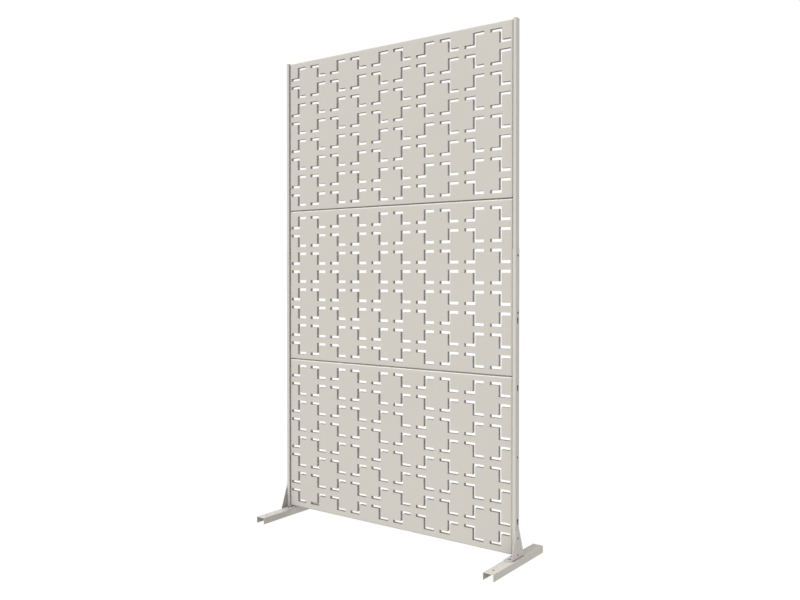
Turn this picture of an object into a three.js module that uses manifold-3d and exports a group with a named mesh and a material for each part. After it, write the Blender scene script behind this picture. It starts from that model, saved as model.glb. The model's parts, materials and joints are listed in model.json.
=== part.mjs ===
// Freestanding garden privacy screen, in millimetres, +Z up.
// Three identical slabs, cut through with a lattice of interlocking step slots, stand one above
// another between two slim telescopic tube posts. Every slab hangs by four headed studs in keyholes
// of the posts. Each post is screwed to a gusset bracket that is bolted on top of a channel foot.
// Origin: on the ground, midway between the posts. The front of the screen faces -Y.

import * as THREE from 'three';
import { mergeGeometries, mergeVertices } from 'three/addons/utils/BufferGeometryUtils.js';
import Module from 'manifold-3d';

const wasm = await Module();
wasm.setup();

// ---------------------------------------------------------------- driving dimensions

// Panels
const panelCount = 3;
const panelWidth = 1024;
const panelHeight = 600;
const panelThickness = 13;
const panelEdgeRadius = 4;      // rounding between a panel's faces and its rim
const panelCornerRadius = 5;    // rounding of the rim at the four corners
const panelGap = 1;             // between one panel and the next
const panelFrontSetback = 5;    // from the front of the lower posts back to the panel faces
const panelGroundClearance = 37;

// Step slots of the lattice
const slotColumns = 10;
const slotRows = 8;
const stemWidth = 10.4;         // the upright part of a slot
const armHeight = 10.8;         // the two level parts of a slot
const armReach = 39.4;          // from the middle of the stem to the end of an arm
const slotHeight = 50.4;
const slotSideMargin = 7.7;     // from the outermost arms to the panel's sides
const slotEndMargin = 21;       // from the outermost arms to the panel's top and bottom

// Posts: two rectangular tubes, the upper one sliding inside the lower one
const postWidth = 14;
const postDepth = 25;
const postWall = 1;
const postCornerRadius = 2.5;
const sharpestBend = 0.25;      // least radius inside a thin tube's corners
const postSideGap = 2.2;        // between the panels and the lower posts
const spliceClearance = 0.1;    // all round, between the two tubes
const spliceTopInset = 85.5;    // from the middle panel's upper studs down to the lower posts' tops
const spliceOverlap = 228;
const capLid = 2;
const capPlugDepth = 12;
const capPlugClearance = 0.15;
const capEdgeChamfer = 0.7;

// Holes in the outer wall of the lower posts
const linkKeyholeHeights = [142.5, 593.5, 821];
const linkKeyholeHead = 9.4;
const linkKeyholeSlot = 5.6;
const linkKeyholeDrop = 13;
const spareHoleHeight = 368;
const spareHoleDiameter = 6.5;

// Feet
const footLength = 350;
const footWidth = 40;
const footHeight = 25;
const footSheet = 2;
const footBendRadius = 3;
const footEndCorner = 3;        // rounding of the flanges' lower end corners
const footLedge = 6;            // web left bare outside the bracket plates
const anchorHoleDiameter = 10;
const anchorHoleEndMargin = 36; // from the middle of a hole to the end of the foot

// Gusset brackets
const bracketSheet = 2;
const bracketBaseLength = 86;
const bracketHeight = 106;      // from the foot to the top of the plate
const bracketTopRadius = 9;
const bracketBendRadius = 3.2;
const bracketTabWidth = 33;
const bracketTabCorner = 4;
const seatGap = 0.2;            // coating between pieces that are clamped together

// Panel studs and the keyholes that they hang in
const studShank = 4.2;
const studShankDepth = 18;
const studCollar = 8;
const studNeck = 4.6;
const studHead = 7.6;
const studHeadThickness = 1.6;
const studRunningGap = 0.3;
const studKeyholeDrop = 11;

// Screws, bolts and nuts
const threadClearance = 0.25;
const screwThread = 4;
const screwLength = 7;
const countersunkHead = 7.6;
const lowHead = 7;
const lowHeadThickness = 1.5;
const screwNutAcross = 7;
const screwNutThickness = 3.2;
const bracketScrewRises = [13.4, 69.8]; // above the underside of the bracket
const jointScrewInset = 12.7;   // above the bottom of an upper post
const jointScrewTopInset = 22.6; // below the top of a lower post
const boltThread = 6;
const boltHeadAcross = 10;
const boltHeadHeight = 4;
const boltFlange = 13;
const boltFlangeThickness = 1.2;
const boltLength = 12;
const boltEndMargin = 16;       // from a bolt to the end of the bracket
const boltInset = 16.3;         // from the lower post's outer wall in to the bolts
const boltNutThickness = 5;

// Facets of a half circle, of a quarter bend, and of a whole turn of a small fastener
const halfCircleFacets = 5;
const bendFacets = 3;
const fastenerFacets = 8;

// ---------------------------------------------------------------- places worked out from them

const panelBottom = panelGroundClearance;
const panelPitch = panelHeight + panelGap;
const panelTop = panelBottom + panelCount * panelPitch - panelGap;
const panelFrontY = -postDepth / 2 + panelFrontSetback;
const panelMiddleY = panelFrontY + panelThickness / 2;

const postInnerX = panelWidth / 2 + postSideGap;
const postOuterX = postInnerX + postWidth;
const postMiddleX = (postInnerX + postOuterX) / 2;
const spliceStep = postWall + spliceClearance;
const upperPostWidth = postWidth - 2 * spliceStep;
const upperPostDepth = postDepth - 2 * spliceStep;
const upperPostRadius = postCornerRadius - spliceStep;

const bracketBottom = footHeight + seatGap;
const lowerPostBottom = bracketBottom + bracketBendRadius;
const bracketInnerX = postOuterX + seatGap;
const bracketOuterX = bracketInnerX + bracketSheet;
const footMiddleX = bracketOuterX + footLedge - footWidth / 2;
const boltX = postOuterX - boltInset;
const boltY = bracketBaseLength / 2 - boltEndMargin;
const anchorHoleY = footLength / 2 - anchorHoleEndMargin;

const columnPitch = (panelWidth - 2 * slotSideMargin - 2 * armReach) / (slotColumns - 1);
const rowPitch = (panelHeight - 2 * slotEndMargin - slotHeight) / (slotRows - 1);
// The studs sit in the solid band between the two outermost rows of slots, at each end of a panel.
const studEndDistance = slotEndMargin + (rowPitch + slotHeight) / 2;

const middlePanel = Math.floor(panelCount / 2);
const lowerPostTop = studHeights(middlePanel)[1] - spliceTopInset;
const upperPostBottom = lowerPostTop - spliceOverlap;

const bracketScrewHeights = bracketScrewRises.map((rise) => bracketBottom + rise);
const jointScrewHeights = [upperPostBottom + jointScrewInset, lowerPostTop - jointScrewTopInset];

// ---------------------------------------------------------------- solids from geometries and back

function toSolid(geometry) {
  const bare = geometry.clone();
  bare.deleteAttribute('normal');
  bare.deleteAttribute('uv');
  const merged = mergeVertices(bare);
  return new wasm.Manifold(new wasm.Mesh({
    numProp: 3,
    vertProperties: new Float32Array(merged.attributes.position.array),
    triVerts: new Uint32Array(merged.index.array),
  }));
}

function toGeometry(solid) {
  const mesh = solid.getMesh();
  const geometry = new THREE.BufferGeometry();
  geometry.setAttribute('position', new THREE.BufferAttribute(mesh.vertProperties, mesh.numProp));
  geometry.setIndex(new THREE.BufferAttribute(mesh.triVerts, 1));
  geometry.computeVertexNormals();
  return geometry;
}

// Cuts a list of geometries, which don't touch one another, out of another geometry.
function cut(geometry, cutters) {
  return toGeometry(toSolid(geometry).subtract(toSolid(mergeGeometries(cutters.map(toPlain)))));
}

function join(geometry, other) {
  return toGeometry(toSolid(geometry).add(toSolid(other)));
}

function common(geometry, other) {
  return toGeometry(toSolid(geometry).intersect(toSolid(other)));
}

// Position-only copy with its own three vertices for every triangle.
function toPlain(geometry) {
  const plain = geometry.index ? geometry.toNonIndexed() : geometry.clone();
  plain.deleteAttribute('normal');
  plain.deleteAttribute('uv');
  return plain;
}

// The same geometry on the other side of the screen: X changes sign, and so does the winding.
function mirrored(geometry) {
  const copy = toPlain(geometry);
  copy.scale(-1, 1, 1);
  const position = copy.attributes.position;
  const swap = new THREE.Vector3();
  const other = new THREE.Vector3();
  for (let i = 0; i < position.count; i += 3) {
    swap.fromBufferAttribute(position, i + 1);
    other.fromBufferAttribute(position, i + 2);
    position.setXYZ(i + 1, other.x, other.y, other.z);
    position.setXYZ(i + 2, swap.x, swap.y, swap.z);
  }
  const result = mergeVertices(copy);
  result.computeVertexNormals();
  return result;
}

// ---------------------------------------------------------------- outlines and extrusions

function roundedRectangle(width, height, radius, target = new THREE.Shape()) {
  const x = width / 2 - radius;
  const y = height / 2 - radius;
  target.absarc(x, y, radius, 0, Math.PI / 2);
  target.absarc(-x, y, radius, Math.PI / 2, Math.PI);
  target.absarc(-x, -y, radius, Math.PI, 1.5 * Math.PI);
  target.absarc(x, -y, radius, 1.5 * Math.PI, 2 * Math.PI);
  return target;
}

function disc(diameter) {
  return new THREE.Shape().absarc(0, 0, diameter / 2, 0, Math.PI)
    .absarc(0, 0, diameter / 2, Math.PI, 2 * Math.PI);
}

// Round head above a narrower slot; the middle of the slot's lower end is at the origin.
function keyhole(head, slot, drop) {
  const meeting = Math.asin(slot / head);
  const shape = new THREE.Shape();
  shape.absarc(0, 0, slot / 2, Math.PI, 2 * Math.PI);
  shape.absarc(0, drop, head / 2, meeting - Math.PI / 2, 1.5 * Math.PI - meeting);
  return shape;
}

// An arc of a shape gets the number of facets given, whatever its angle.
function extrude(shape, depth, arcFacets = bendFacets) {
  return new THREE.ExtrudeGeometry(shape, { depth, curveSegments: arcFacets / 2, bevelEnabled: false });
}

// Turns an extrusion so that it runs along +X, with its outline's axes along Y and Z.
function alongX(geometry) {
  const turn = new THREE.Matrix4().makeBasis(
    new THREE.Vector3(0, 1, 0),
    new THREE.Vector3(0, 0, 1),
    new THREE.Vector3(1, 0, 0),
  );
  return geometry.applyMatrix4(turn);
}

// Turns an extrusion so that it runs along Y, centred on Y = 0, with its outline in X and Z.
function alongY(geometry, depth) {
  return geometry.rotateX(Math.PI / 2).translate(0, depth / 2, 0);
}

// Turned piece standing along +Z, from pairs of radius and height.
function lathe(profile) {
  const points = profile.map(([radius, height]) => new THREE.Vector2(radius, height));
  return new THREE.LatheGeometry(points, fastenerFacets).rotateX(Math.PI / 2);
}

// Regular prism standing on Z = 0, measured across its flats.
function prism(sides, acrossFlats, height) {
  const radius = acrossFlats / 2 / Math.cos(Math.PI / sides);
  return new THREE.CylinderGeometry(radius, radius, height, sides, 1, false, Math.PI / sides)
    .rotateX(Math.PI / 2)
    .translate(0, 0, height / 2);
}

// ---------------------------------------------------------------- panels

// A step slot: a stem with one arm at its top and one at its bottom, on opposite sides.
// hand 1 has its upper arm to the right, hand -1 to the left.
function stepSlot(hand) {
  const stem = stemWidth / 2;
  const top = slotHeight / 2;
  const corners = [
    [-stem, top], [armReach, top], [armReach, top - armHeight], [stem, top - armHeight],
    [stem, -top], [-armReach, -top], [-armReach, armHeight - top], [-stem, armHeight - top],
  ];
  const points = corners.map(([x, z]) => new THREE.Vector2(hand * x, z));
  return new THREE.Shape(points);
}

function panelSlots() {
  const depth = 2 * panelThickness;
  const slots = [];
  for (let row = 0; row < slotRows; row += 1) {
    for (let column = 0; column < slotColumns; column += 1) {
      const hand = (row + column) % 2 === 0 ? 1 : -1;
      const x = (column - (slotColumns - 1) / 2) * columnPitch;
      const z = panelHeight / 2 - slotEndMargin - slotHeight / 2 - row * rowPitch;
      slots.push(alongY(extrude(stepSlot(hand), depth), depth).translate(x, 0, z));
    }
  }
  return slots;
}

// The four blind holes that the studs are driven into, from the panel's two sides.
function studHoles() {
  const holes = [];
  const diameter = studShank + 2 * threadClearance;
  for (const side of [-1, 1]) {
    for (const end of [-1, 1]) {
      const hole = alongX(extrude(disc(diameter), 2 * studShankDepth, fastenerFacets / 2));
      const x = side * panelWidth / 2 - studShankDepth;
      holes.push(hole.translate(x, 0, end * (panelHeight / 2 - studEndDistance)));
    }
  }
  return holes;
}

// A rounded slab, centred on its own middle.
function panelGeometry() {
  const inset = 2 * panelEdgeRadius;
  const outline = roundedRectangle(
    panelWidth - inset, panelHeight - inset, panelCornerRadius - panelEdgeRadius,
  );
  const slab = new THREE.ExtrudeGeometry(outline, {
    depth: panelThickness - inset,
    curveSegments: 1,
    bevelThickness: panelEdgeRadius,
    bevelSize: panelEdgeRadius,
    bevelSegments: bendFacets,
  });
  alongY(slab, panelThickness - inset);
  return cut(cut(slab, panelSlots()), studHoles());
}

// ---------------------------------------------------------------- posts

// Heights of the studs of one panel, from the ground.
function studHeights(panel) {
  const bottom = panelBottom + panel * panelPitch;
  return [bottom + studEndDistance, bottom + panelHeight - studEndDistance];
}

function allStudHeights() {
  return Array.from({ length: panelCount }, (_, panel) => studHeights(panel)).flat();
}

function tube(width, depth, radius, bottom, top) {
  const outline = roundedRectangle(width, depth, radius);
  const bore = roundedRectangle(
    width - 2 * postWall, depth - 2 * postWall, Math.max(radius - postWall, sharpestBend),
    new THREE.Path(),
  );
  outline.holes.push(bore);
  return extrude(outline, top - bottom).translate(postMiddleX, 0, bottom);
}

// Keyholes for the panel studs, through the wall that faces the panels.
function studKeyholes(bottom, top) {
  const clear = 2 * studRunningGap;
  const reachBelow = studKeyholeDrop + studHead;
  return allStudHeights()
    .filter((height) => height > bottom + reachBelow && height < top - reachBelow)
    .map((height) => {
      const outline = keyhole(studHead + clear, studNeck + clear, studKeyholeDrop);
      return alongX(extrude(outline, postWidth, bendFacets + 1))
        .translate(postMiddleX - postWidth, panelMiddleY, height);
    });
}

function outerWallHole(shape, height) {
  return alongX(extrude(shape, postWidth, halfCircleFacets)).translate(postMiddleX, 0, height);
}

function screwHoles(heights) {
  return heights.map((height) => outerWallHole(disc(screwThread + 2 * threadClearance), height));
}

function lowerPostGeometry() {
  const blank = tube(postWidth, postDepth, postCornerRadius, lowerPostBottom, lowerPostTop);
  const linkKeyhole = keyhole(linkKeyholeHead, linkKeyholeSlot, linkKeyholeDrop);
  const outerHoles = [
    ...linkKeyholeHeights.map((height) => outerWallHole(linkKeyhole, height)),
    outerWallHole(disc(spareHoleDiameter), spareHoleHeight),
    ...screwHoles([...bracketScrewHeights, ...jointScrewHeights]),
  ];
  return cut(cut(blank, outerHoles), studKeyholes(lowerPostBottom, upperPostBottom));
}

function upperPostGeometry() {
  const blank = tube(upperPostWidth, upperPostDepth, upperPostRadius, upperPostBottom, panelTop);
  return cut(cut(blank, screwHoles(jointScrewHeights)), studKeyholes(lowerPostTop, panelTop));
}

// Push-in cap: a lid with the upper post's outline and a plug that fits its bore.
function postCapGeometry() {
  const inset = 2 * capEdgeChamfer;
  const lidOutline = roundedRectangle(
    upperPostWidth - inset, upperPostDepth - inset, upperPostRadius - capEdgeChamfer,
  );
  const lid = new THREE.ExtrudeGeometry(lidOutline, {
    depth: capLid - inset,
    curveSegments: bendFacets / 2,
    bevelThickness: capEdgeChamfer,
    bevelSize: capEdgeChamfer,
    bevelSegments: 1,
  }).translate(0, 0, capEdgeChamfer);
  const shrink = 2 * (postWall + capPlugClearance);
  const plugOutline = roundedRectangle(
    upperPostWidth - shrink, upperPostDepth - shrink,
    Math.max(upperPostRadius - postWall, sharpestBend),
  );
  const plug = extrude(plugOutline, capPlugDepth + capLid / 2).translate(0, 0, -capPlugDepth);
  return join(lid, plug).translate(postMiddleX, 0, panelTop + seatGap);
}

// ---------------------------------------------------------------- feet

// Upturned channel: a web with a flange down each side, bent from one strip.
function footProfile() {
  const outer = footWidth / 2;
  const inner = outer - footSheet;
  const bend = footBendRadius;
  const insideBend = footBendRadius - footSheet;
  const bendX = outer - bend;
  const bendZ = footHeight - bend;
  const shape = new THREE.Shape();
  shape.moveTo(inner, 0);
  shape.lineTo(outer, 0);
  shape.absarc(bendX, bendZ, bend, 0, Math.PI / 2);
  shape.absarc(-bendX, bendZ, bend, Math.PI / 2, Math.PI);
  shape.lineTo(-outer, 0);
  shape.lineTo(-inner, 0);
  shape.absarc(-bendX, bendZ, insideBend, Math.PI, Math.PI / 2, true);
  shape.absarc(bendX, bendZ, insideBend, Math.PI / 2, 0, true);
  return shape;
}

function webHole(diameter, x, y) {
  return extrude(disc(diameter), footHeight, halfCircleFacets).translate(x, y, footHeight / 2);
}

function footSideOutline() {
  const half = footLength / 2;
  const corner = footEndCorner;
  const shape = new THREE.Shape();
  shape.moveTo(half, footHeight);
  shape.lineTo(-half, footHeight);
  shape.absarc(corner - half, corner, corner, Math.PI, 1.5 * Math.PI);
  shape.absarc(half - corner, corner, corner, 1.5 * Math.PI, 2 * Math.PI);
  return shape;
}

function footGeometry() {
  const side = alongX(extrude(footSideOutline(), footWidth)).translate(-footWidth / 2, 0, 0);
  const channel = common(alongY(extrude(footProfile(), footLength), footLength), side)
    .translate(footMiddleX, 0, 0);
  const holes = [-1, 1].flatMap((end) => [
    webHole(anchorHoleDiameter, footMiddleX, end * anchorHoleY),
    webHole(boltThread + 2 * threadClearance, boltX, end * boltY),
  ]);
  return cut(channel, holes);
}

// ---------------------------------------------------------------- gusset brackets

// Angle section of the bent sheet: the upright plate outside the post and the tab turned in below it.
function bracketProfile() {
  const top = bracketHeight;
  const sheet = bracketSheet;
  const bend = bracketBendRadius;
  const shape = new THREE.Shape();
  shape.moveTo(-bracketTabWidth, sheet);
  shape.lineTo(-bracketTabWidth, 0);
  shape.absarc(-bend, bend, bend, -Math.PI / 2, 0);
  shape.lineTo(0, top);
  shape.lineTo(-sheet, top);
  shape.absarc(-bend, bend, bend - sheet, 0, -Math.PI / 2, true);
  return shape;
}

// Side outline: full length at the tab, then straight tapers up to a round top.
function bracketSideOutline() {
  const half = bracketBaseLength / 2;
  const radius = bracketTopRadius;
  const shoulder = bracketBendRadius;
  const rise = bracketHeight - radius - shoulder;
  // The taper is tangent to the round top, so it meets it where the normals agree.
  const slope = Math.atan2(half, rise) - Math.asin(radius / Math.hypot(half, rise));
  const shape = new THREE.Shape();
  shape.moveTo(-half, 0);
  shape.lineTo(half, 0);
  shape.lineTo(half, shoulder);
  shape.absarc(0, bracketHeight - radius, radius, slope, Math.PI - slope);
  shape.lineTo(-half, shoulder);
  return shape;
}

// Plan outline of the bracket, with the two free corners of the tab rounded.
function bracketPlanOutline() {
  const half = bracketBaseLength / 2;
  const corner = bracketTabCorner;
  const shape = new THREE.Shape();
  shape.moveTo(0, -half);
  shape.lineTo(0, half);
  shape.absarc(corner - bracketTabWidth, half - corner, corner, Math.PI / 2, Math.PI);
  shape.absarc(corner - bracketTabWidth, corner - half, corner, Math.PI, 1.5 * Math.PI);
  return shape;
}

function countersink(height) {
  const radius = countersunkHead / 2 + threadClearance;
  const bore = screwThread / 2 + threadClearance;
  const cone = lathe([
    [0, -2 * bracketSheet], [bore, -2 * bracketSheet], [bore, bore - radius], [radius, 0],
    [radius, bracketSheet], [0, bracketSheet],
  ]);
  return pointingOut(cone).translate(bracketOuterX, 0, height);
}

function bracketGeometry() {
  const length = bracketBaseLength;
  const angle = alongY(extrude(bracketProfile(), length), length);
  const side = alongX(extrude(bracketSideOutline(), 2 * bracketTabWidth, halfCircleFacets))
    .translate(-1.5 * bracketTabWidth, 0, 0);
  const plan = extrude(bracketPlanOutline(), bracketHeight);
  const blank = common(common(angle, side), plan).translate(bracketOuterX, 0, bracketBottom);
  const holes = [
    ...bracketScrewHeights.map(countersink),
    ...[-1, 1].map((end) => webHole(boltThread + 2 * threadClearance, boltX, end * boltY)),
  ];
  return cut(blank, holes);
}

// ---------------------------------------------------------------- fasteners

// Points the top of an upright piece outwards, along +X.
function pointingOut(geometry) {
  return geometry.rotateY(Math.PI / 2);
}

// A headed stud: shank in the panel, collar beside it, neck through the keyhole, head behind it.
function studGeometry(height) {
  const edge = panelWidth / 2;
  const wallX = height < lowerPostTop ? postInnerX : postInnerX + spliceStep;
  const neckStart = wallX - studRunningGap;
  const headStart = wallX + postWall + studRunningGap;
  const headEnd = headStart + studHeadThickness;
  const stud = lathe([
    [0, edge - studShankDepth + studRunningGap],
    [studShank / 2, edge - studShankDepth + studRunningGap],
    [studShank / 2, edge + seatGap],
    [studCollar / 2, edge + seatGap],
    [studCollar / 2, neckStart],
    [studNeck / 2, neckStart],
    [studNeck / 2, headStart],
    [studHead / 2, headStart],
    [studHead / 2, headEnd],
    [0, headEnd],
  ]);
  return pointingOut(stud).translate(0, panelMiddleY, height);
}

// Countersunk screw through the bracket into the post, its flat head flush with the bracket's face.
function bracketScrewGeometry(height) {
  const radius = countersunkHead / 2;
  const thread = screwThread / 2;
  const screw = lathe([
    [0, -screwLength], [thread, -screwLength], [thread, thread - radius], [radius, 0], [0, 0],
  ]);
  return pointingOut(screw).translate(bracketOuterX, 0, height);
}

// Low-headed screw through both tubes, where they overlap.
function jointScrewGeometry(height) {
  const radius = lowHead / 2;
  const thread = screwThread / 2;
  const edge = lowHeadThickness / 3;
  const screw = lathe([
    [0, -screwLength], [thread, -screwLength], [thread, 0], [radius, 0],
    [radius, lowHeadThickness - edge], [radius - edge, lowHeadThickness], [0, lowHeadThickness],
  ]);
  return pointingOut(screw).translate(postOuterX + seatGap, 0, height);
}

// Nut with four or six sides, standing on Z = 0.
function nutGeometry(sides, acrossFlats, thickness, thread) {
  const bore = extrude(disc(thread + 2 * threadClearance), 3 * thickness, fastenerFacets / 2)
    .translate(0, 0, -thickness);
  return cut(prism(sides, acrossFlats, thickness), [bore]);
}

// Square nut welded inside a tube, behind the hole for a screw; wallX is the inside of its wall.
function weldNutGeometry(wallX, height) {
  const nut = pointingOut(nutGeometry(4, screwNutAcross, screwNutThickness, screwThread));
  return nut.translate(wallX - seatGap - screwNutThickness, 0, height);
}

// Flanged hexagon bolt, its flange standing on the bracket's tab; end is -1 in front, 1 behind.
function footBoltGeometry(end) {
  const flange = lathe([
    [0, -boltLength], [boltThread / 2, -boltLength], [boltThread / 2, 0], [boltFlange / 2, 0],
    [boltFlange / 2, boltFlangeThickness / 2], [boltHeadAcross / 2, boltFlangeThickness],
    [0, boltFlangeThickness],
  ]);
  const seat = bracketBottom + bracketSheet + seatGap;
  return join(flange, prism(6, boltHeadAcross, boltHeadHeight))
    .translate(boltX, end * boltY, seat);
}

function footNutGeometry(end) {
  const seat = footHeight - footSheet - seatGap - boltNutThickness;
  return nutGeometry(6, boltHeadAcross, boltNutThickness, boltThread)
    .translate(boltX, end * boltY, seat);
}

// ---------------------------------------------------------------- materials and assembly

function coating(color, roughness, metalness) {
  return new THREE.MeshStandardMaterial({ color, roughness, metalness });
}

const panelFinish = { color: 0xcfcbc2, roughness: 0.62, metalness: 0 };
const frameFinish = { color: 0xccc8bf, roughness: 0.5, metalness: 0.1 };
const capFinish = { color: 0xc9c5bc, roughness: 0.6, metalness: 0 };
const darkFinish = { color: 0x4a4842, roughness: 0.45, metalness: 0.6 };
const zincFinish = { color: 0xb4b3ad, roughness: 0.35, metalness: 0.9 };

const screen = new THREE.Group();

function addPiece(name, geometry, finish) {
  const mesh = new THREE.Mesh(geometry, coating(finish.color, finish.roughness, finish.metalness));
  mesh.name = name;
  screen.add(mesh);
  return mesh;
}

// Adds a piece of the right-hand post and its mirror image on the left-hand one.
function addPair(name, geometry, finish) {
  addPiece(`${name}_right`, geometry, finish);
  addPiece(`${name}_left`, mirrored(geometry), finish);
}

const panelNames = panelCount === 3
  ? ['bottom', 'middle', 'top']
  : Array.from({ length: panelCount }, (_, panel) => `level_${panel + 1}`);

panelNames.forEach((name, panel) => {
  const mesh = addPiece(`panel_${name}`, panelGeometry(), panelFinish);
  mesh.position.set(0, panelMiddleY, panelBottom + panel * panelPitch + panelHeight / 2);
});

addPair('lower_post', lowerPostGeometry(), frameFinish);
addPair('upper_post', upperPostGeometry(), frameFinish);
addPair('post_cap', postCapGeometry(), capFinish);
addPair('foot_channel', footGeometry(), frameFinish);
addPair('gusset_bracket', bracketGeometry(), frameFinish);

['lower', 'upper'].forEach((level, index) => {
  panelNames.forEach((name, panel) => {
    addPair(`${name}_panel_${level}_stud`, studGeometry(studHeights(panel)[index]), zincFinish);
  });
  const screwHeight = bracketScrewHeights[index];
  addPair(`bracket_${level}_screw`, bracketScrewGeometry(screwHeight), darkFinish);
  addPair(`bracket_${level}_nut`, weldNutGeometry(postOuterX - postWall, screwHeight), zincFinish);
  const jointHeight = jointScrewHeights[index];
  const upperPostWallX = postOuterX - spliceStep - postWall;
  addPair(`joint_${level}_screw`, jointScrewGeometry(jointHeight), darkFinish);
  addPair(`joint_${level}_nut`, weldNutGeometry(upperPostWallX, jointHeight), zincFinish);
});

[['front', -1], ['back', 1]].forEach(([place, end]) => {
  addPair(`foot_${place}_bolt`, footBoltGeometry(end), zincFinish);
  addPair(`foot_${place}_nut`, footNutGeometry(end), zincFinish);
});

export default screen;
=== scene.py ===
import json
import math

import bpy
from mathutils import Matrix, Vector


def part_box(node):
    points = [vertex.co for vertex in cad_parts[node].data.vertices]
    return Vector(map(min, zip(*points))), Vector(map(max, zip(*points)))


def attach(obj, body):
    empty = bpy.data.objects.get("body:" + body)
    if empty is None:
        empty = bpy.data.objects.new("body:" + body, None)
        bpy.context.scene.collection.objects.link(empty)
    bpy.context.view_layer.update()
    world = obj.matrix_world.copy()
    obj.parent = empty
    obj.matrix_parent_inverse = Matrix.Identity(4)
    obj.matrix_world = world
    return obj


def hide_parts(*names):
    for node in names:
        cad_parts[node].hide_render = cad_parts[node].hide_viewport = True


# Freestanding garden privacy screen: the finish of every piece, the studio and the camera.
# Metres, +Z up, on the frame of the built part. The front of the screen faces -Y.

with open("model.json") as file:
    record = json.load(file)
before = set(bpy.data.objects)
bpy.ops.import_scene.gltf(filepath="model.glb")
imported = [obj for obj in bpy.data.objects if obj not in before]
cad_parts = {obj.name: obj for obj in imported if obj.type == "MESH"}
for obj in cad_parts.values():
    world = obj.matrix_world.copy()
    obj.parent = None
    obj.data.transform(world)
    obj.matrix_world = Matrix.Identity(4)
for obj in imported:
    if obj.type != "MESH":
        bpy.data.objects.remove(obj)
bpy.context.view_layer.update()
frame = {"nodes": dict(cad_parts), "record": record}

MM = 0.001
X = 0
Z = 2
SIDES = ("right", "left")
LEVELS = ("lower", "upper")
ENDS = ("front", "back")
PANELS = ("bottom", "middle", "top")

# ---------------------------------------------------------------- finishes

# Broad clouds and fine specks that every coat shows. A band is the part of the pattern that turns tone.
CLOUD_SIZE = 0.35
CLOUD_TONES = (0.985, 1.012)
DARK_SPECK_BAND = (0.62, 0.72)
DARK_SPECK_TONE = 0.90
LIGHT_SPECK_BAND = (0.28, 0.38)
LIGHT_SPECK_TONE = 1.07
COAT_SPECULAR = 0.35
COAT_GRAIN_DEPTH = 0.1 * MM

PANEL_GREIGE = (0.615, 0.589, 0.534)
FRAME_GREIGE = (0.640, 0.614, 0.563)
CAP_GREIGE = (0.615, 0.590, 0.538)
SCREW_BLACK = (0.060, 0.057, 0.052)
ZINC_GREY = (0.60, 0.59, 0.56)

# Painted shade where little light gets in, and painted highlights where a round catches it, in the coat's
# colour.
PAINTED_LIGHT_ATTRIBUTE = "painted_light_tone"
# Painted shade in the slot walls: on their sides, on the sills facing up and on the heads facing down.
SLOT_SIDE_PAINTED_SHADE = 0.93
SLOT_SILL_PAINTED_SHADE = 0.52
SLOT_HEAD_PAINTED_SHADE = 0.84
# Painted highlight on the rims facing up at the seams and on the side rims; painted shade under the seam
# rims.
TOP_RIM_PAINTED_HIGHLIGHT = 1.27
UNDER_RIM_PAINTED_SHADE = 0.43
SIDE_RIM_PAINTED_HIGHLIGHT = 1.30
# Painted shade inside the tubes and in the walls of their holes.
INSIDE_PAINTED_SHADE = 0.12


def blank_finish(name):
    """A material with its shader, its node tree and the Object coordinates that patterns read."""
    finish = bpy.data.materials.new(name)
    finish.use_nodes = True
    tree = finish.node_tree
    shader = tree.nodes["Principled BSDF"]
    place = tree.nodes.new("ShaderNodeTexCoord").outputs["Object"]
    return finish, tree, shader, place


def noise(tree, place, size, detail=2.0, rough=0.5):
    """Noise whose largest blotches are about size across."""
    node = tree.nodes.new("ShaderNodeTexNoise")
    node.inputs["Scale"].default_value = 1.0 / size
    node.inputs["Detail"].default_value = detail
    node.inputs["Roughness"].default_value = rough
    tree.links.new(place, node.inputs["Vector"])
    return node.outputs["Fac"]


def spread(tree, value, low, high, start=0.3, stop=0.7):
    """Turns start..stop of a pattern into low..high."""
    node = tree.nodes.new("ShaderNodeMapRange")
    node.inputs["From Min"].default_value = start
    node.inputs["From Max"].default_value = stop
    node.inputs["To Min"].default_value = low
    node.inputs["To Max"].default_value = high
    tree.links.new(value, node.inputs["Value"])
    return node.outputs["Result"]


def blend_colours(tree, amount, first, second):
    """Mixes two colours, or a colour and a socket, by a pattern."""
    node = tree.nodes.new("ShaderNodeMix")
    node.data_type = "RGBA"
    tree.links.new(amount, node.inputs["Factor"])
    for socket, colour in ((node.inputs[6], first), (node.inputs[7], second)):
        if isinstance(colour, tuple):
            socket.default_value = (*colour, 1.0)
        else:
            tree.links.new(colour, socket)
    return node.outputs[2]


def shade(colour, factor):
    """The same hue, lighter or darker."""
    return tuple(min(1.0, channel * factor) for channel in colour)


def raise_grain(tree, shader, heights, depth):
    """Adds bump from one or more patterns to the shader, depth in metres."""
    normal = None
    for height, strength in heights:
        bump = tree.nodes.new("ShaderNodeBump")
        bump.inputs["Strength"].default_value = strength
        bump.inputs["Distance"].default_value = depth
        tree.links.new(height, bump.inputs["Height"])
        if normal is not None:
            tree.links.new(normal, bump.inputs["Normal"])
        normal = bump.outputs["Normal"]
    tree.links.new(normal, shader.inputs["Normal"])


def paint_face_shade_and_highlight(tree, colour):
    """Multiplies a colour by the painted shade or painted highlight that each face of a piece carries."""
    tone = tree.nodes.new("ShaderNodeAttribute")
    tone.attribute_name = PAINTED_LIGHT_ATTRIBUTE
    node = tree.nodes.new("ShaderNodeMix")
    node.data_type = "RGBA"
    node.blend_type = "MULTIPLY"
    node.inputs["Factor"].default_value = 1.0
    tree.links.new(colour, node.inputs[6])
    tree.links.new(tone.outputs["Color"], node.inputs[7])
    return node.outputs[2]


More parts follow.
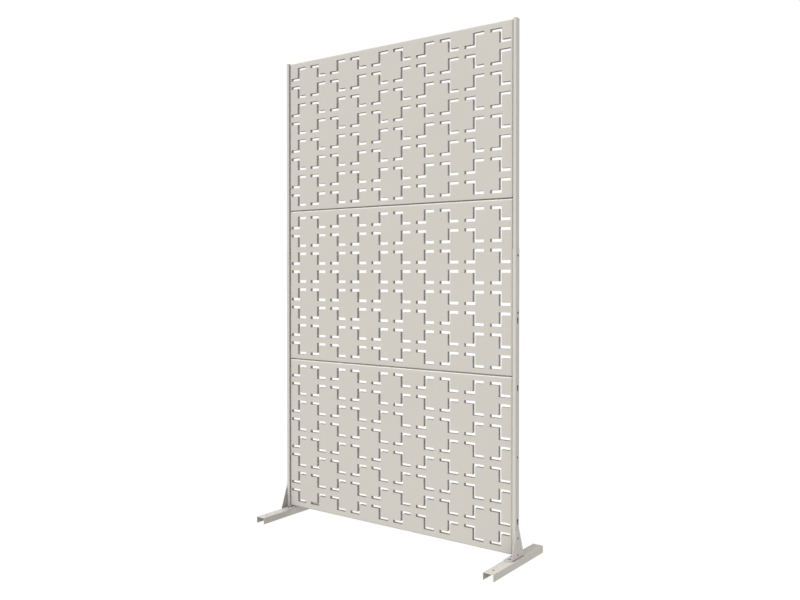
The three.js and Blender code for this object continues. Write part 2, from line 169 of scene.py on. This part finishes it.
def coated_finish(name, colour, speck, peel, roughness, grain, painted_shade_and_highlight=False):
    """Matt coat: broad clouds, fine specks of two tones, and the skin's own grain as bump, with painted
    shade and painted highlights per face if asked.
    """
    finish, tree, shader, place = blank_finish(name)
    clouds = noise(tree, place, size=CLOUD_SIZE, detail=3.0)
    specks = noise(tree, place, size=speck, detail=1.0)
    skin = noise(tree, place, size=peel, detail=2.0)
    darker, lighter = (shade(colour, tone) for tone in CLOUD_TONES)
    cloudy = blend_colours(tree, spread(tree, clouds, 0.0, 1.0), darker, lighter)
    dark_specks = spread(tree, specks, 0.0, 1.0, *DARK_SPECK_BAND)
    speckled = blend_colours(tree, dark_specks, cloudy, shade(colour, DARK_SPECK_TONE))
    light_specks = spread(tree, specks, 1.0, 0.0, *LIGHT_SPECK_BAND)
    coat = blend_colours(tree, light_specks, speckled, shade(colour, LIGHT_SPECK_TONE))
    # Painted shade and painted highlights multiply the coat's colour, face by face.
    if painted_shade_and_highlight:
        coat = paint_face_shade_and_highlight(tree, coat)
    tree.links.new(coat, shader.inputs["Base Color"])
    tree.links.new(spread(tree, clouds, *roughness), shader.inputs["Roughness"])
    raise_grain(tree, shader, ((skin, grain), (specks, grain / 2)), COAT_GRAIN_DEPTH)
    shader.inputs["Specular IOR Level"].default_value = COAT_SPECULAR
    return finish


def steel_finish(name, colour, blotch, detail, rough, band, tones, roughness, metallic, grain, grain_depth):
    """Plated or coated steel: fine blotches of two tones, which also vary its gloss."""
    finish, tree, shader, place = blank_finish(name)
    blotches = noise(tree, place, size=blotch, detail=detail, rough=rough)
    first, second = (shade(colour, tone) for tone in tones)
    surface = blend_colours(tree, spread(tree, blotches, 0.0, 1.0, *band), first, second)
    tree.links.new(surface, shader.inputs["Base Color"])
    tree.links.new(spread(tree, blotches, *roughness), shader.inputs["Roughness"])
    shader.inputs["Metallic"].default_value = metallic
    raise_grain(tree, shader, ((blotches, grain),), grain_depth)
    return finish


finishes = {
    "panel": coated_finish(
        "moulded_greige", PANEL_GREIGE, speck=1.1 * MM, peel=2.2 * MM, roughness=(0.58, 0.68), grain=0.20,
        painted_shade_and_highlight=True,
    ),
    "coated_frame": coated_finish(
        "powder_coat", FRAME_GREIGE, speck=0.8 * MM, peel=1.6 * MM, roughness=(0.48, 0.58), grain=0.25,
        painted_shade_and_highlight=True,
    ),
    "cap": coated_finish(
        "moulded_cap", CAP_GREIGE, speck=1.0 * MM, peel=2.0 * MM, roughness=(0.60, 0.70), grain=0.15,
    ),
    "dark_screw": steel_finish(
        "dark_coated_steel", SCREW_BLACK, blotch=1.5 * MM, detail=3.0, rough=0.5, band=(0.55, 0.75),
        tones=(1.0, 2.2), roughness=(0.38, 0.55), metallic=0.4, grain=0.3, grain_depth=0.05 * MM,
    ),
    "zinc": steel_finish(
        "zinc_plate", ZINC_GREY, blotch=2.5 * MM, detail=4.0, rough=0.6, band=(0.3, 0.7),
        tones=(0.85, 1.12), roughness=(0.3, 0.45), metallic=0.35, grain=0.2, grain_depth=0.04 * MM,
    ),
}
slot_of_node = {part["node"]: part["material_slot"] for part in frame["record"]["subparts"]}


def dress(piece, slot):
    """Gives a piece the finish of a material slot."""
    piece.data.materials.clear()
    piece.data.materials.append(finishes[slot])


# ---------------------------------------------------------------- modelling tools

CUT_TOLERANCE = 0.001 * MM
MERGE_DISTANCE = 0.002 * MM
# Angles in degrees.
FLAT_ANGLE = 0.5
SHARP_ANGLE = 50.0
SMOOTH_ANGLE = 35.0
EDGE_SEGMENTS = 2
FACE_WEIGHT = 90


def start_on(piece):
    """Makes piece the only selected object, and the active one."""
    bpy.ops.object.select_all(action="DESELECT")
    piece.select_set(True)
    bpy.context.view_layer.objects.active = piece


def apply_modifier(piece, kind, **settings):
    """Adds a modifier with its settings and applies it."""
    start_on(piece)
    modifier = piece.modifiers.new(kind.lower(), kind)
    for key, value in settings.items():
        setattr(modifier, key, value)
    bpy.ops.object.modifier_apply(modifier=modifier.name)


def smooth_shade(piece, angle=SMOOTH_ANGLE):
    """Shades a piece smoothly, except across edges sharper than an angle in degrees."""
    start_on(piece)
    bpy.ops.object.shade_smooth_by_angle(angle=math.radians(angle))


def hand_over(piece, slot, nodes):
    """Dresses a finished piece, and lets it ride on the body and stand for its nodes."""
    dress(piece, slot)
    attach(piece, "root")
    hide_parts(*nodes)


def score(axis, places):
    """Cuts the faces of the piece in edit mode along planes across an axis, and keeps the cuts."""
    across = [1.0 if axis == letter else 0.0 for letter in "XYZ"]
    for place in places:
        bpy.ops.mesh.select_all(action="SELECT")
        bpy.ops.mesh.bisect(
            plane_co=[place * part for part in across], plane_no=across, threshold=CUT_TOLERANCE
        )
        bpy.ops.mesh.mark_seam(clear=False)


def paint_light_on_faces(piece, painted_light_of):
    """Gives each face of a piece its painted shade or painted highlight, 1.0 where none is given, for its
    coat to multiply in.
    """
    tones = piece.data.attributes.new(PAINTED_LIGHT_ATTRIBUTE, "FLOAT", "FACE")
    for face in piece.data.polygons:
        tones.data[face.index].value = painted_light_of(piece, face) if painted_light_of else 1.0


def finished_copy(node, name, edge, lines, painted_light_of=None):
    """A copy of a node with one skin of clean faces, and its sharp edges broken by a small round.

    The lines cross every hole of the node, so that no flat face has a hole inside it.
    """
    piece = bpy.data.objects.new(name, frame["nodes"][node].data.copy())
    bpy.context.scene.collection.objects.link(piece)
    start_on(piece)
    bpy.ops.object.mode_set(mode="EDIT")
    bpy.ops.mesh.select_all(action="SELECT")
    bpy.ops.mesh.remove_doubles(threshold=MERGE_DISTANCE)
    for axis, places in lines.items():
        score(axis, places)
    bpy.ops.mesh.select_all(action="SELECT")
    bpy.ops.mesh.dissolve_limited(angle_limit=math.radians(FLAT_ANGLE), delimit={"SEAM"})
    bpy.ops.object.mode_set(mode="OBJECT")
    apply_modifier(
        piece, "BEVEL", width=edge, segments=EDGE_SEGMENTS, limit_method="ANGLE",
        angle_limit=math.radians(SHARP_ANGLE), use_clamp_overlap=True,
    )
    # Painted shade and painted highlights, face by face, for a toned coat to multiply in.
    paint_light_on_faces(piece, painted_light_of)
    smooth_shade(piece)
    apply_modifier(piece, "WEIGHTED_NORMAL", weight=FACE_WEIGHT, keep_sharp=True)
    hand_over(piece, slot_of_node[node], [node])
    return piece


def turned_piece(name, rings, facets):
    """Turned solid on the Z axis: a filled circle, extruded and scaled from ring to ring."""
    first_radius, first_height = rings[0]
    bpy.ops.object.select_all(action="DESELECT")
    bpy.ops.mesh.primitive_circle_add(
        vertices=facets, radius=first_radius, fill_type="NGON", location=(0, 0, first_height)
    )
    piece = bpy.context.object
    piece.name = name
    bpy.ops.object.transform_apply(location=True, rotation=True, scale=True)
    bpy.ops.object.mode_set(mode="EDIT")
    bpy.ops.mesh.select_all(action="SELECT")
    radius, height = first_radius, first_height
    for next_radius, next_height in rings[1:]:
        bpy.ops.mesh.extrude_region_move(
            TRANSFORM_OT_translate={"value": (0, 0, next_height - height)}
        )
        ratio = next_radius / radius
        bpy.ops.transform.resize(value=(ratio, ratio, 1), center_override=(0, 0, next_height))
        radius, height = next_radius, next_height
    bpy.ops.mesh.select_all(action="SELECT")
    bpy.ops.mesh.normals_make_consistent(inside=False)
    bpy.ops.object.mode_set(mode="OBJECT")
    return piece


def cut_socket(piece, across_flats, depth, top):
    """Cuts a hexagon socket into the head of a turned piece."""
    bpy.ops.object.select_all(action="DESELECT")
    bpy.ops.mesh.primitive_cylinder_add(
        vertices=6, radius=across_flats / math.sqrt(3), depth=2 * depth, location=(0, 0, top)
    )
    cutter = bpy.context.object
    apply_modifier(piece, "BOOLEAN", operation="DIFFERENCE", solver="EXACT", object=cutter)
    bpy.data.objects.remove(cutter)


def set_down(piece, name, position, towards):
    """A copy with its own mesh, its top pointing towards a direction, placed in its mesh."""
    copy = bpy.data.objects.new(name, piece.data.copy())
    bpy.context.scene.collection.objects.link(copy)
    copy.rotation_euler = Vector(towards).to_track_quat("Z", "Y").to_euler()
    copy.location = position
    start_on(copy)
    bpy.ops.object.transform_apply(location=True, rotation=True, scale=True)
    return copy


# ---------------------------------------------------------------- panels, posts, feet and brackets

PANEL_WIDTH = 1024 * MM
PANEL_HEIGHT = 600 * MM
PANEL_PITCH = 601 * MM
PANEL_FOOT = 37 * MM
RIM_ROUND = 4.0 * MM

SLOT_COLUMNS = 10
SLOT_ROWS = 8
STEM_WIDTH = 10.4 * MM
ARM_HEIGHT = 10.8 * MM
ARM_REACH = 39.4 * MM
SLOT_HEIGHT = 50.4 * MM
SLOT_SIDE_MARGIN = 7.7 * MM
SLOT_END_MARGIN = 21 * MM

STUD_Y = -1.0 * MM
SCREW_Y = 0.0
ANCHOR_HOLE_X = 516.4 * MM
BOLT_HOLE_X = 511.9 * MM

BOARD_EDGE = 0.2 * MM
TUBE_EDGE = 0.2 * MM
CAP_EDGE = 0.2 * MM
SHEET_EDGE = 0.4 * MM

# How far a normal leans along an axis on a board's skins, on the first facet of a side rim, and
# on the upright walls of a slot.
SKIN_LEAN = 0.98
FIRST_FACET_LEAN = 0.9
UPRIGHT_WALL_LEAN = 0.5

# A tube's outer faces lie at least this far in front of its middle, and its end faces this near its ends.
OUTER_FACE_REACH = 0.01 * MM
TUBE_END_DEPTH = 1 * MM


def slot_lines(panel_foot):
    """The upright and level lines that the slots' walls lie on, for a panel standing at panel_foot."""
    column_pitch = (PANEL_WIDTH - 2 * SLOT_SIDE_MARGIN - 2 * ARM_REACH) / (SLOT_COLUMNS - 1)
    row_pitch = (PANEL_HEIGHT - 2 * SLOT_END_MARGIN - SLOT_HEIGHT) / (SLOT_ROWS - 1)
    upright = []
    for column in range(SLOT_COLUMNS):
        middle = (column - (SLOT_COLUMNS - 1) / 2) * column_pitch
        upright += [middle + step for step in (-ARM_REACH, -STEM_WIDTH / 2, STEM_WIDTH / 2, ARM_REACH)]
    level = []
    for row in range(SLOT_ROWS):
        middle = panel_foot + SLOT_END_MARGIN + SLOT_HEIGHT / 2 + row * row_pitch
        for side in (-1, 1):
            level += [middle + side * SLOT_HEIGHT / 2, middle + side * (SLOT_HEIGHT / 2 - ARM_HEIGHT)]
    return upright, level


def depth_inside(piece, place, axis):
    """How far a place lies inside the nearer end of a piece along an axis."""
    return min(place[axis] - piece.bound_box[0][axis], piece.bound_box[6][axis] - place[axis])


def board_painted_light(piece, face):
    """Painted shade and painted highlights on a board: its slot walls and the rims under the seams are
    darker, and its rims above the seams and its side rims lighter than the skins.
    """
    if abs(face.normal.y) > SKIN_LEAN:
        return 1.0
    if depth_inside(piece, face.center, Z) < RIM_ROUND:
        screen_top = PANEL_FOOT + (len(PANELS) - 1) * PANEL_PITCH + PANEL_HEIGHT
        outermost = min(face.center.z - PANEL_FOOT, screen_top - face.center.z) < RIM_ROUND
        # Painted highlight on a seam rim facing up, painted shade on one facing down.
        seam_painted_light = TOP_RIM_PAINTED_HIGHLIGHT if face.normal.z > 0 else UNDER_RIM_PAINTED_SHADE
        return 1.0 if outermost else seam_painted_light
    if depth_inside(piece, face.center, X) < RIM_ROUND:
        # Painted highlight on the side rims.
        return SIDE_RIM_PAINTED_HIGHLIGHT if abs(face.normal.y) < FIRST_FACET_LEAN else 1.0
    # Painted shade in the slot walls.
    if abs(face.normal.x) > UPRIGHT_WALL_LEAN:
        return SLOT_SIDE_PAINTED_SHADE
    return SLOT_SILL_PAINTED_SHADE if face.normal.z > 0 else SLOT_HEAD_PAINTED_SHADE


def tube_painted_shade(piece, face):
    """Painted shade on a post: dark inside the tube and in the walls of its holes."""
    away = face.center - (Vector(piece.bound_box[0]) + Vector(piece.bound_box[6])) / 2
    faces_out = away.x * face.normal.x + away.y * face.normal.y > OUTER_FACE_REACH
    at_end = depth_inside(piece, face.center, Z) < TUBE_END_DEPTH
    return 1.0 if faces_out or at_end else INSIDE_PAINTED_SHADE


for number, name in enumerate(PANELS):
    upright, level = slot_lines(PANEL_FOOT + number * PANEL_PITCH)
    through_slots_and_stud_holes = {"X": upright, "Z": level, "Y": [STUD_Y]}
    finished_copy(
        f"panel_{name}", f"slotted_panel_{name}", BOARD_EDGE, through_slots_and_stud_holes, board_painted_light
    )

for side in SIDES:
    out = 1.0 if side == "right" else -1.0
    through_wall_holes = {"Y": [SCREW_Y, STUD_Y]}
    through_web_holes = {"X": [out * ANCHOR_HOLE_X, out * BOLT_HOLE_X]}
    through_bracket_holes = {"X": [out * BOLT_HOLE_X], "Y": [SCREW_Y]}
    finished_copy(f"lower_post_{side}", f"lower_tube_{side}", TUBE_EDGE, through_wall_holes, tube_painted_shade)
    finished_copy(f"upper_post_{side}", f"upper_tube_{side}", TUBE_EDGE, through_wall_holes, tube_painted_shade)
    finished_copy(f"post_cap_{side}", f"push_in_cap_{side}", CAP_EDGE, {})
    finished_copy(f"foot_channel_{side}", f"channel_foot_{side}", SHEET_EDGE, through_web_holes)
    finished_copy(f"gusset_bracket_{side}", f"bent_gusset_{side}", SHEET_EDGE, through_bracket_holes)

# ---------------------------------------------------------------- fasteners

SMOOTH_FACETS = 32
BOLT_SMOOTH_ANGLE = 25.0
SCREW_THREAD = 2.0 * MM
SCREW_LENGTH = 7.0 * MM
SCREW_TIP = 0.3 * MM
SCREW_SOCKET = 2.5 * MM
HEAD_CORNER = 0.1 * MM
JOINT_HEAD_HEIGHT = 1.5 * MM
BOLT_HEAD_HEIGHT = 4.0 * MM


def bracket_screw():
    """Countersunk socket screw, its flat head on Z = 0. Its rings are a radius and a height each."""
    head = 3.8 * MM
    brow = 0.15 * MM
    screw = turned_piece(
        "bracket_screw",
        [
            (SCREW_THREAD - SCREW_TIP, -SCREW_LENGTH),
            (SCREW_THREAD, SCREW_TIP - SCREW_LENGTH),
            (SCREW_THREAD, SCREW_THREAD - head),
            (head - HEAD_CORNER, -brow - HEAD_CORNER),
            (head, -brow),
            (head - brow, 0.0),
        ],
        SMOOTH_FACETS,
    )
    cut_socket(screw, across_flats=SCREW_SOCKET, depth=1.4 * MM, top=0.0)
    smooth_shade(screw)
    return screw


def joint_screw():
    """Low-headed socket screw, its head standing on Z = 0."""
    head = 3.5 * MM
    shoulder_height = 0.8 * MM
    dome_inset, dome_height = 0.15 * MM, 1.15 * MM
    crown_inset = 0.5 * MM
    screw = turned_piece(
        "joint_screw",
        [
            (SCREW_THREAD - SCREW_TIP, -SCREW_LENGTH),
            (SCREW_THREAD, SCREW_TIP - SCREW_LENGTH),
            (SCREW_THREAD, 0.0),
            (head - HEAD_CORNER, 0.0),
            (head, HEAD_CORNER),
            (head, shoulder_height),
            (head - dome_inset, dome_height),
            (head - crown_inset, JOINT_HEAD_HEIGHT),
        ],
        SMOOTH_FACETS,
    )
    cut_socket(screw, across_flats=SCREW_SOCKET, depth=1.1 * MM, top=JOINT_HEAD_HEIGHT)
    smooth_shade(screw)
    return screw


def foot_bolt():
    """Flanged hexagon bolt, its flange standing on Z = 0."""
    thread, length, tip = 3.0 * MM, 12.0 * MM, 0.5 * MM
    flange, flange_top = 6.5 * MM, 0.5 * MM
    slope_inset, slope_height = 0.3 * MM, 0.75 * MM
    neck, neck_height = 4.6 * MM, 1.3 * MM
    bolt = turned_piece(
        "foot_bolt",
        [
            (thread - tip, -length),
            (thread, tip - length),
            (thread, 0.0),
            (flange - HEAD_CORNER, 0.0),
            (flange, HEAD_CORNER),
            (flange, flange_top),
            (flange - slope_inset, slope_height),
            (neck, neck_height),
        ],
        SMOOTH_FACETS,
    )
    hexagon = chamfered_hexagon(across_flats=10.0 * MM, foot=0.4 * MM, top=BOLT_HEAD_HEIGHT)
    apply_modifier(bolt, "BOOLEAN", operation="UNION", solver="EXACT", object=hexagon)
    bpy.data.objects.remove(hexagon)
    smooth_shade(bolt, BOLT_SMOOTH_ANGLE)
    return bolt


def chamfered_hexagon(across_flats, foot, top):
    """Upright hexagon prism whose upper corners are turned off by a cone."""
    cone_radius, cone_top_radius, cone_height = 8.2 * MM, 4.4 * MM, 2.2 * MM
    bpy.ops.object.select_all(action="DESELECT")
    bpy.ops.mesh.primitive_cylinder_add(
        vertices=6, radius=across_flats / math.sqrt(3), depth=top - foot, location=(0, 0, (top + foot) / 2)
    )
    hexagon = bpy.context.object
    bpy.ops.object.transform_apply(location=True, rotation=True, scale=True)
    bpy.ops.mesh.primitive_cone_add(
        vertices=SMOOTH_FACETS, radius1=cone_radius, radius2=cone_top_radius, depth=cone_height,
        location=(0, 0, top - cone_height / 2),
    )
    cone = bpy.context.object
    bpy.ops.mesh.primitive_cylinder_add(
        vertices=SMOOTH_FACETS, radius=cone_radius, depth=top, location=(0, 0, top / 2 - cone_height)
    )
    below = bpy.context.object
    apply_modifier(cone, "BOOLEAN", operation="UNION", solver="EXACT", object=below)
    apply_modifier(hexagon, "BOOLEAN", operation="INTERSECT", solver="EXACT", object=cone)
    for helper in (below, cone):
        bpy.data.objects.remove(helper)
    return hexagon


def middle_of(node):
    """Middle of a node's box."""
    low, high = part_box(node)
    return (low + high) / 2


def outward(node):
    """Unit vector from the middle of the screen out to the side that a node is on."""
    return Vector((math.copysign(1.0, middle_of(node).x), 0.0, 0.0))


def outer_end(node, sunk=0.0):
    """Middle of a node's outer end, or the place that lies sunk further in."""
    low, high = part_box(node)
    middle = middle_of(node)
    return outward(node) * (max(abs(low.x), abs(high.x)) - sunk) + Vector((0, middle.y, middle.z))


screw_for_brackets = bracket_screw()
screw_for_joints = joint_screw()
bolt_for_feet = foot_bolt()

for side in SIDES:
    for level in LEVELS:
        node = f"bracket_{level}_screw_{side}"
        name = f"countersunk_{level}_screw_{side}"
        piece = set_down(screw_for_brackets, name, outer_end(node), outward(node))
        hand_over(piece, "dark_screw", [node])

        node = f"joint_{level}_screw_{side}"
        name = f"low_head_{level}_screw_{side}"
        piece = set_down(screw_for_joints, name, outer_end(node, sunk=JOINT_HEAD_HEIGHT), outward(node))
        hand_over(piece, "dark_screw", [node])
    for end in ENDS:
        node = f"foot_{end}_bolt_{side}"
        low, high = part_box(node)
        position = Vector((middle_of(node).x, middle_of(node).y, high.z - BOLT_HEAD_HEIGHT))
        piece = set_down(bolt_for_feet, f"flanged_{end}_bolt_{side}", position, (0, 0, 1))
        hand_over(piece, "zinc", [node])

for pattern in (screw_for_brackets, screw_for_joints, bolt_for_feet):
    bpy.data.objects.remove(pattern)

# The nuts and studs sit out of sight in the tubes and feet: they keep their solids, with the right finish.
for node, solid in frame["nodes"].items():
    if slot_of_node[node] == "zinc":
        dress(solid, "zinc")

# ---------------------------------------------------------------- studio and camera

PICTURE_WIDTH = 800
PICTURE_HEIGHT = 600
SENSOR_WIDTH = 36.0
FOCAL_LENGTH_PX = 824.6
OPTICAL_CENTRE_Y_PX = 284.2
CAMERA_PLACE = (1.8429, -2.4656, 0.9853)
CAMERA_TURN = math.radians(36.201)
CAMERA_DIP = math.radians(0.719)
NEAR_CLIP = 0.05
FAR_CLIP = 100.0

FLOOR_SIZE = 60.0
FLOOR_BLOTCH = 0.5
FLOOR_GREYS = ((0.05, 0.05, 0.05), (0.07, 0.07, 0.07))
FLOOR_ROUGHNESS = 0.9
FLOOR_GLOW = 0.97

WHITE = (1.0, 1.0, 1.0, 1.0)
STUDIO_WHITE = (1.0, 0.995, 0.985, 1.0)
WORLD_ABOVE = 0.75
WORLD_BELOW = 0.67
HORIZON_BAND = (-0.15, 0.10)

KEY_DIRECTION = (-0.20, -0.50, 0.84)
KEY_STRENGTH = 2.07
KEY_ANGLE = 50.0


def add_camera():
    """Camera at the photograph's place, with its optical centre above the middle of the picture."""
    data = bpy.data.cameras.new("studio_camera")
    data.sensor_width = SENSOR_WIDTH
    data.lens = FOCAL_LENGTH_PX / PICTURE_WIDTH * SENSOR_WIDTH
    data.shift_y = (OPTICAL_CENTRE_Y_PX - PICTURE_HEIGHT / 2) / PICTURE_WIDTH
    data.clip_start, data.clip_end = NEAR_CLIP, FAR_CLIP
    camera = bpy.data.objects.new("studio_camera", data)
    camera.location = CAMERA_PLACE
    camera.rotation_euler = (math.pi / 2 - CAMERA_DIP, 0.0, CAMERA_TURN)
    bpy.context.scene.collection.objects.link(camera)
    bpy.context.scene.camera = camera


def add_floor():
    """Plain pale floor. Its own faint glow keeps it as white as the backdrop."""
    bpy.ops.object.select_all(action="DESELECT")
    bpy.ops.mesh.primitive_plane_add(size=FLOOR_SIZE, location=(0, 0, 0))
    floor = bpy.context.object
    floor.name = "floor"
    finish, tree, shader, place = blank_finish("pale_floor")
    tone = noise(tree, place, size=FLOOR_BLOTCH, detail=2.0)
    tree.links.new(blend_colours(tree, tone, *FLOOR_GREYS), shader.inputs["Base Color"])
    shader.inputs["Roughness"].default_value = FLOOR_ROUGHNESS
    shader.inputs["Specular IOR Level"].default_value = 0.0
    shader.inputs["Emission Color"].default_value = WHITE
    shader.inputs["Emission Strength"].default_value = FLOOR_GLOW
    floor.data.materials.append(finish)
    floor.visible_diffuse = False
    floor.visible_glossy = False


def add_world():
    """White backdrop, and an even studio glow that is weaker from below."""
    world = bpy.data.worlds.new("studio")
    bpy.context.scene.world = world
    world.use_nodes = True
    tree = world.node_tree
    tree.nodes.clear()
    direction = tree.nodes.new("ShaderNodeTexCoord")
    split = tree.nodes.new("ShaderNodeSeparateXYZ")
    tree.links.new(direction.outputs["Generated"], split.inputs["Vector"])
    glow = spread(tree, split.outputs["Z"], WORLD_BELOW, WORLD_ABOVE, *HORIZON_BAND)
    studio = tree.nodes.new("ShaderNodeBackground")
    studio.inputs["Color"].default_value = STUDIO_WHITE
    tree.links.new(glow, studio.inputs["Strength"])
    backdrop = tree.nodes.new("ShaderNodeBackground")
    backdrop.inputs["Color"].default_value = WHITE
    backdrop.inputs["Strength"].default_value = 1.0
    path = tree.nodes.new("ShaderNodeLightPath")
    mix = tree.nodes.new("ShaderNodeMixShader")
    tree.links.new(path.outputs["Is Camera Ray"], mix.inputs["Fac"])
    tree.links.new(studio.outputs["Background"], mix.inputs[1])
    tree.links.new(backdrop.outputs["Background"], mix.inputs[2])
    output = tree.nodes.new("ShaderNodeOutputWorld")
    tree.links.new(mix.outputs["Shader"], output.inputs["Surface"])


def add_key_light():
    """A distant, very wide light, so that it falls off nowhere and its shadows stay soft."""
    data = bpy.data.lights.new("key", "SUN")
    data.energy = KEY_STRENGTH
    data.angle = math.radians(KEY_ANGLE)
    key = bpy.data.objects.new("key", data)
    key.rotation_euler = Vector(KEY_DIRECTION).to_track_quat("Z", "Y").to_euler()
    key.visible_glossy = False
    bpy.context.scene.collection.objects.link(key)


add_camera()
add_floor()
add_world()
add_key_light()
bpy.context.scene.cycles.diffuse_bounces = 0
bpy.context.scene.view_settings.view_transform = "Standard"
bpy.context.scene.view_settings.look = "None"
